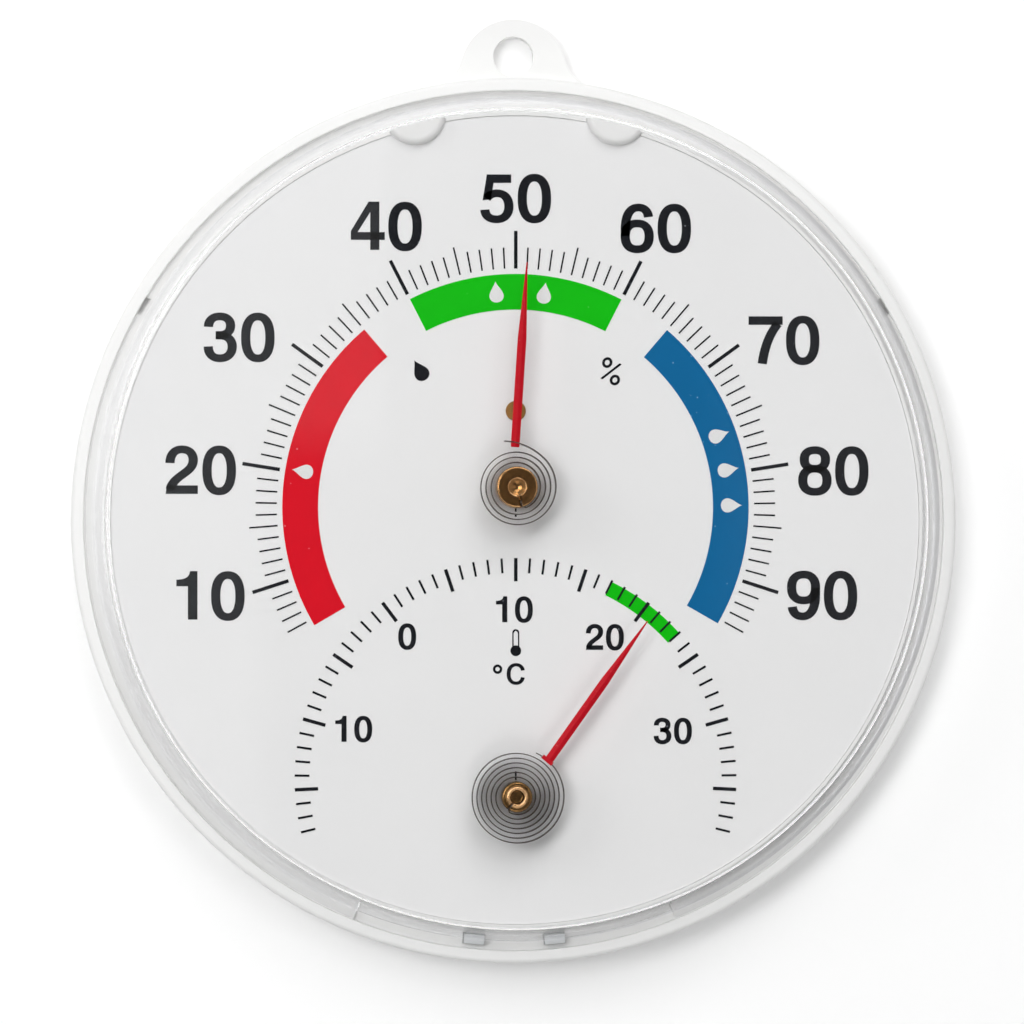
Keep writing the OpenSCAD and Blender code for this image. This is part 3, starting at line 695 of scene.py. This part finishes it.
def arborParts(a, s):
    # the slotted ring, the plug that ends its hole in a shallow round hollow, the solid drum and shank
    # below them, and the two halves of the shank's end
    ring = roundCorners([(a["hole"], a["slotLow"]), (a["drum"], a["slotLow"]), (a["drum"], a["top"]),
                         (a["hole"], a["top"])], [0, 0, a["edge"], a["lip"]], hold=a["flatFrom"])
    t = np.linspace(math.asin(a["hole"] / a["dish"]), 0, 13)
    hollow = np.stack([a["dish"] * np.sin(t), a["floor"] + a["dish"] * (1 - np.cos(t))], -1)
    plugRadius = a["hole"] + overlap
    plug = np.concatenate([[(0, a["plugLow"]), (plugRadius, a["plugLow"]),
                            (plugRadius, hollow[0, 1] + overlap / 2)], hollow])
    foot = [(0, a["slotLow"]), (a["drum"], a["slotLow"]), (a["drum"], a["base"]), (s["radius"], a["base"]),
            (s["radius"], s["back"] + s["slotDepth"]), (0, s["back"] + s["slotDepth"])]
    whole = [turnedPart(p, a["centre"]) for p in (plug, foot)]
    halves = [halfShank(side, s, a["centre"]) for side in (-1, 1)]
    return [turnedPart(ring, a["centre"], a["slotAt"], a["slotWidth"])] + whole + halves


def studParts(s):
    # a collar over a rounded shoulder, a blind hole that ends in a punched hollow, and a riveted foot
    ring = roundCorners([(s["punch"], s["slotLow"]), (s["drum"], s["slotLow"]), (s["drum"], s["shoulder"]),
                         (s["collar"], s["shoulder"]), (s["collar"], s["top"]), (s["hole"], s["top"]),
                         (s["hole"], s["holeLow"]), (s["punch"], s["holeLow"])],
                        [0, 0, s["edge"], s["corner"], s["lip"], s["lip"], s["bowl"], 0],
                        hold=s["flatFrom"])
    core = s["punch"] + overlap
    foot = [(0, s["holeLow"]), (core, s["holeLow"]), (core, s["slotLow"]), (s["drum"], s["slotLow"]),
            (s["drum"], s["base"]), (s["shank"], s["base"]), (s["shank"], s["headTop"]),
            (s["head"], s["headTop"]), (s["head"], s["back"]), (0, s["back"])]
    return [turnedPart(ring, s["centre"], s["slotAt"], s["slotWidth"]), turnedPart(foot, s["centre"])]


humidityArbor = makePiece("humidity_arbor", arborParts(hubs["arbor"], hubs["shank"]), hygroBrass,
                          "hygrometer_arbor", sharp=50)
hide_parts("hygro_arbor")
coilStud = makePiece("thermometer_stud", studParts(hubs["stud"]), thermoBrass, "case", sharp=50)
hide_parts("thermo_stud")
print("hubs turned")

# Coils: each strip is laid out straight, then wound

coils = {
    "hygro": {"middle": hygroMiddle, "slotAt": 168, "drum": 3.05, "start": 3.28, "winds": 3.51,
              "pitch": 0.76, "lift": 1.09, "heights": (15.4, 17.6),
              "bodies": ("hygrometer_arbor", "hygrometer_pointer")},
    "thermo": {"middle": thermoMiddle, "slotAt": 218, "drum": 2.25, "start": 2.5, "winds": 6.54,
               "pitch": 0.7, "lift": 0.0, "heights": (14.9, 16.9),
               "bodies": ("case", "thermometer_pointer")},
}
strip = {"thickness": 0.15, "corner": 0.025, "slotWidth": 0.45, "inSlot": (-1, -0.5, -0.1), "firstTurn": 12,
         "endArc": 60, "pointsPerTurn": 90}
# the humidity coil's end comes up through the pointer's base
stripOver = {"points": 42, "heights": (17.62, 18.12)}


def coilLine(c):
    # out along one side of the slot, then against the clock on a spiral: the radius grows by the pitch in
    # each turn, and over the last arc by the square of its share as well, up to the lift
    along = polar(1.0, c["slotAt"])
    across = polar(1.0, c["slotAt"] + 90) * (strip["thickness"] - strip["slotWidth"]) / 2
    tail = across + along * (c["drum"] + np.array(strip["inSlot"]))[:, None]
    turn = np.linspace(strip["firstTurn"], 360 * c["winds"], int(strip["pointsPerTurn"] * c["winds"]))
    rise = np.clip(1 - (360 * c["winds"] - turn) / strip["endArc"], 0, None) ** 2
    radius = c["start"] + c["pitch"] * turn / 360 + c["lift"] * rise
    return np.concatenate([tail, polar(radius, c["slotAt"] - turn)]) + c["middle"]


def stripPart(line, low, high):
    # a strip on edge along a line: an eight-sided section whose corners are a little broken
    step = np.gradient(line, axis=0)
    normal = np.stack([-step[:, 1], step[:, 0]], -1) / np.linalg.norm(step, axis=1)[:, None]
    n = len(line)
    edge = strip["corner"]
    half = strip["thickness"] / 2
    loop = [(-half, low + edge), (-half + edge, low), (half - edge, low), (half, low + edge),
            (half, high - edge), (half - edge, high), (-half + edge, high), (-half, high - edge)]
    side = np.array([s for s, h in loop])
    points = np.concatenate([line[:, None] + normal[:, None] * side[None, :, None],
                             np.broadcast_to([h for s, h in loop], (n, 8))[..., None]], -1)
    return points, tubeFaces(n, 8)


def windCoil(name, c, node):
    # a coil wound along its line in place of a part of the model, tied to no body
    line = coilLine(c)
    piece = makePiece(name, [stripPart(line, *c["heights"])], coilStrip, None)
    wound = np.zeros(len(piece.data.vertices) * 3)
    piece.data.vertices.foreach_get("co", wound)
    flat = wound.reshape(-1, 3) / 0.001 + [0, 0, place["dialBelowHole"]]
    # the share of the strip's length at each vertex, from its nearest point on the line
    share = np.concatenate([[0], np.cumsum(np.linalg.norm(np.diff(line, axis=0), axis=1))])
    share /= share[-1]
    order = ((line[None] - flat[:, None, [0, 2]]) ** 2).sum(2).argmin(1)
    # t is the inverse of 3t^2-2t^3 at each vertex's share of the length
    t = 0.5 - np.sin(np.arcsin(1 - 2 * share[order]) / 3)
    laid = np.zeros_like(flat)
    laid[:, 0] = t
    piece.data.vertices.foreach_set("co", laid.ravel())
    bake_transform(piece)
    piece.data.vertices.foreach_set("co", wound)
    piece.data.update()
    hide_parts(node)


windCoil("humidity_coil", coils["hygro"], "hygro_coil")
windCoil("bimetal_coil", coils["thermo"], "thermo_coil")
overLine = coilLine(coils["hygro"])[-stripOver["points"]:]
stripEnd = makePiece("humidity_strip_end", [stripPart(overLine, *stripOver["heights"])], coilStrip,
                     "hygrometer_pointer")
print("coils wound")

# Pointers: a strip creased along its middle, tapered to its tip, folded round the coil's end

pointers = {
    "hygro": {"middle": hygroMiddle, "reads": 3.7, "shift": -0.7, "tail": 5.85, "reach": 33.2,
              "base": 17.63, "gripWidth": 0.85, "fold": 0.2, "tailFold": 0.6},
    "thermo": {"middle": thermoMiddle, "reads": 35.4, "shift": 0.68, "tail": 7.2, "reach": 32.3,
               "base": 16.93, "gripWidth": 1.85, "fold": 0.48, "tailFold": 0.0},
}
blade = {"width": 1.3, "thickness": 0.16, "crown": 0.3, "fullTo": 0.66, "tipWidth": 0.16,
         "tailRound": 0.3, "tailWidth": 0.86, "cheek": 0.2, "gap": 0.03, "gripHeight": 1.8,
         "gripBack": 1.25, "cheekTop": 0.6, "nearEnd": 60, "inset": 0.1, "bevel": 0.05}


def bladePart(p):
    # along the blade the section is a shallow roof whose width falls to the tip in a straight line; at the
    # tail it grows with the square root of the way
    b = blade
    full = p["tail"] + b["tailRound"]
    y = np.concatenate([np.linspace(p["tail"], full, 5), np.linspace(full + 0.1, p["reach"], 60)])
    grown = np.sqrt(np.clip((y - p["tail"]) / b["tailRound"], 0, 1))
    taper = p["reach"] * b["fullTo"]
    width = b["width"] + (b["tipWidth"] - b["width"]) * np.clip((y - taper) / (p["reach"] - taper), 0, 1)
    width *= b["tailWidth"] + (1 - b["tailWidth"]) * grown
    x = np.array([-0.5, -0.44, -0.06, 0.06, 0.44, 0.5, 0.5, 0.44, 0.06, -0.06, -0.44, -0.5])
    up = np.array([-0.03, 0.1, 0.93, 0.93, 0.1, -0.03, 0, 0, 1, 1, 0, 0])
    drop = np.array([0, 0, 0, 0, 0, 0, 1, 1, 1, 1, 1, 1]) * b["thickness"]
    n, sides = len(y), len(x)
    flat = np.stack([p["shift"] + x[None, :] * width[:, None], np.broadcast_to(y[:, None], (n, sides))], -1)
    height = p["base"] + b["thickness"] + up[None, :] * b["crown"] * (width / b["width"])[:, None] - drop
    points = np.concatenate([turnedBy(flat, p["reads"], p["middle"]), height[..., None]], -1)
    return points, tubeFaces(n, sides)


def blockPart(centre, angle, size, low, high):
    # an upright block with small bevels, turned against the clock to a direction in degrees
    x, y = size[0] / 2, size[1] / 2
    flat = roundCorners([(-x, -y), (x, -y), (x, y), (-x, y)], [blade["bevel"]] * 4, 3)
    return slab(turnedBy(flat, -angle, centre), low, high)


def gripParts(p, c):
    # a saddle over the strip near its end: two cheeks and the fold that joins them
    line = coilLine(c)
    near = len(line) - blade["nearEnd"]
    length = np.linalg.norm(line[near:] - line[-1], axis=1)
    spot = near + int(np.argmin(abs(length - (blade["gripBack"] + p["gripWidth"] / 2))))
    way = line[spot + 1] - line[spot - 1]
    angle = math.degrees(math.atan2(way[1], way[0]))
    normal = np.array([-way[1], way[0]]) / np.linalg.norm(way)
    off = strip["thickness"] / 2 + blade["gap"] + blade["cheek"] / 2
    top = p["base"] + blade["thickness"] * blade["cheekTop"]
    cheeks = [blockPart(line[spot] + s * normal * off, angle, (p["gripWidth"], blade["cheek"]),
                        p["base"] - blade["gripHeight"], top) for s in (-1, 1)]
    fold = blockPart(line[spot], angle, (p["gripWidth"], 2 * off + blade["cheek"]), p["base"],
                     p["base"] + p["fold"])
    return cheeks + [fold]


def makePointer(name, p, c, node, body):
    # the blade and its saddle; where the tail is folded, a lip hangs down from it
    parts = [bladePart(p)] + gripParts(p, c)
    inset = blade["inset"]
    if p["tailFold"]:
        centre = turnedBy(np.array([p["shift"], p["tail"] + inset]), p["reads"], p["middle"])
        parts.append(blockPart(centre, -p["reads"], (blade["width"] - 2 * inset, blade["cheek"]),
                               p["base"] - p["tailFold"], p["base"] + inset))
    piece = makePiece(name, parts, redLacquer, body, sharp=25)
    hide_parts(node)


makePointer("humidity_pointer", pointers["hygro"], coils["hygro"], "hygro_pointer", "hygrometer_pointer")
makePointer("temperature_pointer", pointers["thermo"], coils["thermo"], "thermo_pointer",
            "thermometer_pointer")
print("pointers made")

# Stage: a white wall behind the object, soft lamps before it, one behind it, and the camera

view = {"azimuth": -2.165, "elevation": -1.1, "distance": 0.95, "lens": 225.13,
        "target": (-0.000535, -0.012, -0.06847)}
wallCard = {"half": 1.6, "behind": 0.0004, "lift": 0.1}
# the room: the strengths of what is seen in it, and between which parts of a direction each edge fades
room = {"asLight": 0.18, "leftWall": 0.22, "rightWall": 0.1, "upperX": (0.019, 0.0165),
        "upperZ": (0.024, 0.036), "leftX": (0.002, -0.005), "rightX": (0.065, 0.08),
        "sidesY": (-0.96, -0.6)}
lamps = {
    "leftKey": {"at": (-0.30, -0.95, 0.05), "size": (0.35, 0.35), "watts": 3.1},
    "topKey": {"at": (0.05, -0.95, 0.40), "size": (0.5, 0.3), "watts": 1.8},
    "rightFill": {"at": (0.45, -0.95, -0.05), "size": (0.35, 0.35), "watts": 0.5},
    "lowFill": {"at": (0.0, -0.95, -0.62), "size": (0.4, 0.4), "watts": 1.3},
    "topSoftbox": {"at": (0.26, -1.0, 1.09), "size": (0.8, 0.6), "watts": 5.2},
    "leftSoftbox": {"at": (-0.70, -0.42, 0.30), "size": (0.35, 0.4), "watts": 1.3},
    "backKey": {"at": (0.15, 1.0, 0.25), "size": (0.6, 0.4), "watts": 1.6},
}


def addLamp(name, at, size, watts):
    # an area lamp turned to what the camera looks at
    data = bpy.data.lights.new(name, "AREA")
    data.shape = "RECTANGLE"
    data.size, data.size_y = size
    data.energy = watts
    lamp = bpy.data.objects.new(name, data)
    lamp.location = at
    aim = Vector(view["target"]) - Vector(at)
    lamp.rotation_euler = aim.to_track_quat("-Z", "Y").to_euler()
    scene.collection.objects.link(lamp)


def addCamera():
    # at its distance from the target, on the line back that its two angles give
    a, e = math.radians(view["azimuth"]), math.radians(view["elevation"])
    back = Vector((math.sin(a) * math.cos(e), -math.cos(a) * math.cos(e), math.sin(e)))
    right = Vector((math.cos(a), math.sin(a), 0))
    up = back.cross(right)
    data = bpy.data.cameras.new("photoCamera")
    data.sensor_width, data.lens = 36, view["lens"]
    data.clip_start, data.clip_end = 0.05, 20
    camera = bpy.data.objects.new("photoCamera", data)
    camera.rotation_euler = Matrix((right, up, back)).transposed().to_euler()
    camera.location = Vector(view["target"]) + back * view["distance"]
    scene.collection.objects.link(camera)
    scene.camera = camera


def addWall():
    # lit as white card. For the camera, gloss and clear plastic it adds a little light of its own, so that
    # it comes out white. Its back lets everything through and it stops no lamp, so that the object is seen
    # and lit from behind too
    mesh = bpy.data.meshes.new("wall")
    s, y = wallCard["half"], wallCard["behind"]
    mesh.from_pydata([(-s, y, -s), (s, y, -s), (s, y, s), (-s, y, s)], [], [(0, 1, 2, 3)])
    material = bpy.data.materials.new("matt white wall")
    material.use_nodes = True
    tree = material.node_tree
    tree.nodes.clear()
    paint = addNode(tree, "BsdfDiffuse", {"Color": linear("#FFFFFF")})
    path = addNode(tree, "LightPath")
    seen = combine(tree, "MAXIMUM", path.outputs["Is Camera Ray"], path.outputs["Is Glossy Ray"])
    seen = combine(tree, "MAXIMUM", seen, path.outputs["Is Transmission Ray"])
    glow = addNode(tree, "Emission", {"Strength": combine(tree, "MULTIPLY", seen, wallCard["lift"])})
    both = addNode(tree, "AddShader", {0: paint.outputs[0], 1: glow.outputs[0]})
    side = addNode(tree, "NewGeometry")
    through = combine(tree, "MAXIMUM", side.outputs["Backfacing"], path.outputs["Is Shadow Ray"])
    clear = addNode(tree, "BsdfTransparent")
    mix = addNode(tree, "MixShader", {0: through, 1: both.outputs[0], 2: clear.outputs[0]})
    addNode(tree, "OutputMaterial", {"Surface": mix.outputs[0]})
    mesh.materials.append(material)
    wall = bpy.data.objects.new("wall", mesh)
    scene.collection.objects.link(wall)


def addWorld():
    # white for the camera, softer as a light. Gloss and clear plastic see it white beside and behind the
    # object and dark in front of it, but for a pale wall at the left and a weaker one at the right
    world = bpy.data.worlds.new("studio")
    scene.world = world
    world.use_nodes = True
    tree = world.node_tree
    tree.nodes.clear()
    way = addNode(tree, "SeparateXYZ", {0: addNode(tree, "TexCoord").outputs["Generated"]})

    def fade(axis, edge, top=1.0):
        return mapTo(tree, way.outputs[axis], *edge, 0.0, top, interpolation_type="SMOOTHSTEP")

    upperLeft = combine(tree, "MULTIPLY", fade("X", room["upperX"]), fade("Z", room["upperZ"]))
    left = combine(tree, "MAXIMUM", upperLeft, fade("X", room["leftX"]))
    walls = combine(tree, "MAXIMUM", combine(tree, "MULTIPLY", left, room["leftWall"]),
                    fade("X", room["rightX"], room["rightWall"]))
    around = combine(tree, "MAXIMUM", walls, fade("Y", room["sidesY"]))
    path = addNode(tree, "LightPath")
    seen = combine(tree, "MAXIMUM", path.outputs["Is Glossy Ray"], path.outputs["Is Transmission Ray"])
    strength = addNode(tree, "Mix", {0: seen, 2: room["asLight"], 3: around})
    strength = addNode(tree, "Mix", {0: path.outputs["Is Camera Ray"], 2: strength.outputs[0], 3: 1.0})
    background = addNode(tree, "Background", {"Color": (1, 1, 1, 1), "Strength": strength.outputs[0]})
    addNode(tree, "OutputWorld", {"Surface": background.outputs[0]})


addWorld()
addWall()
for name, lamp in lamps.items():
    addLamp(name, **lamp)
addCamera()
print("stage lit")
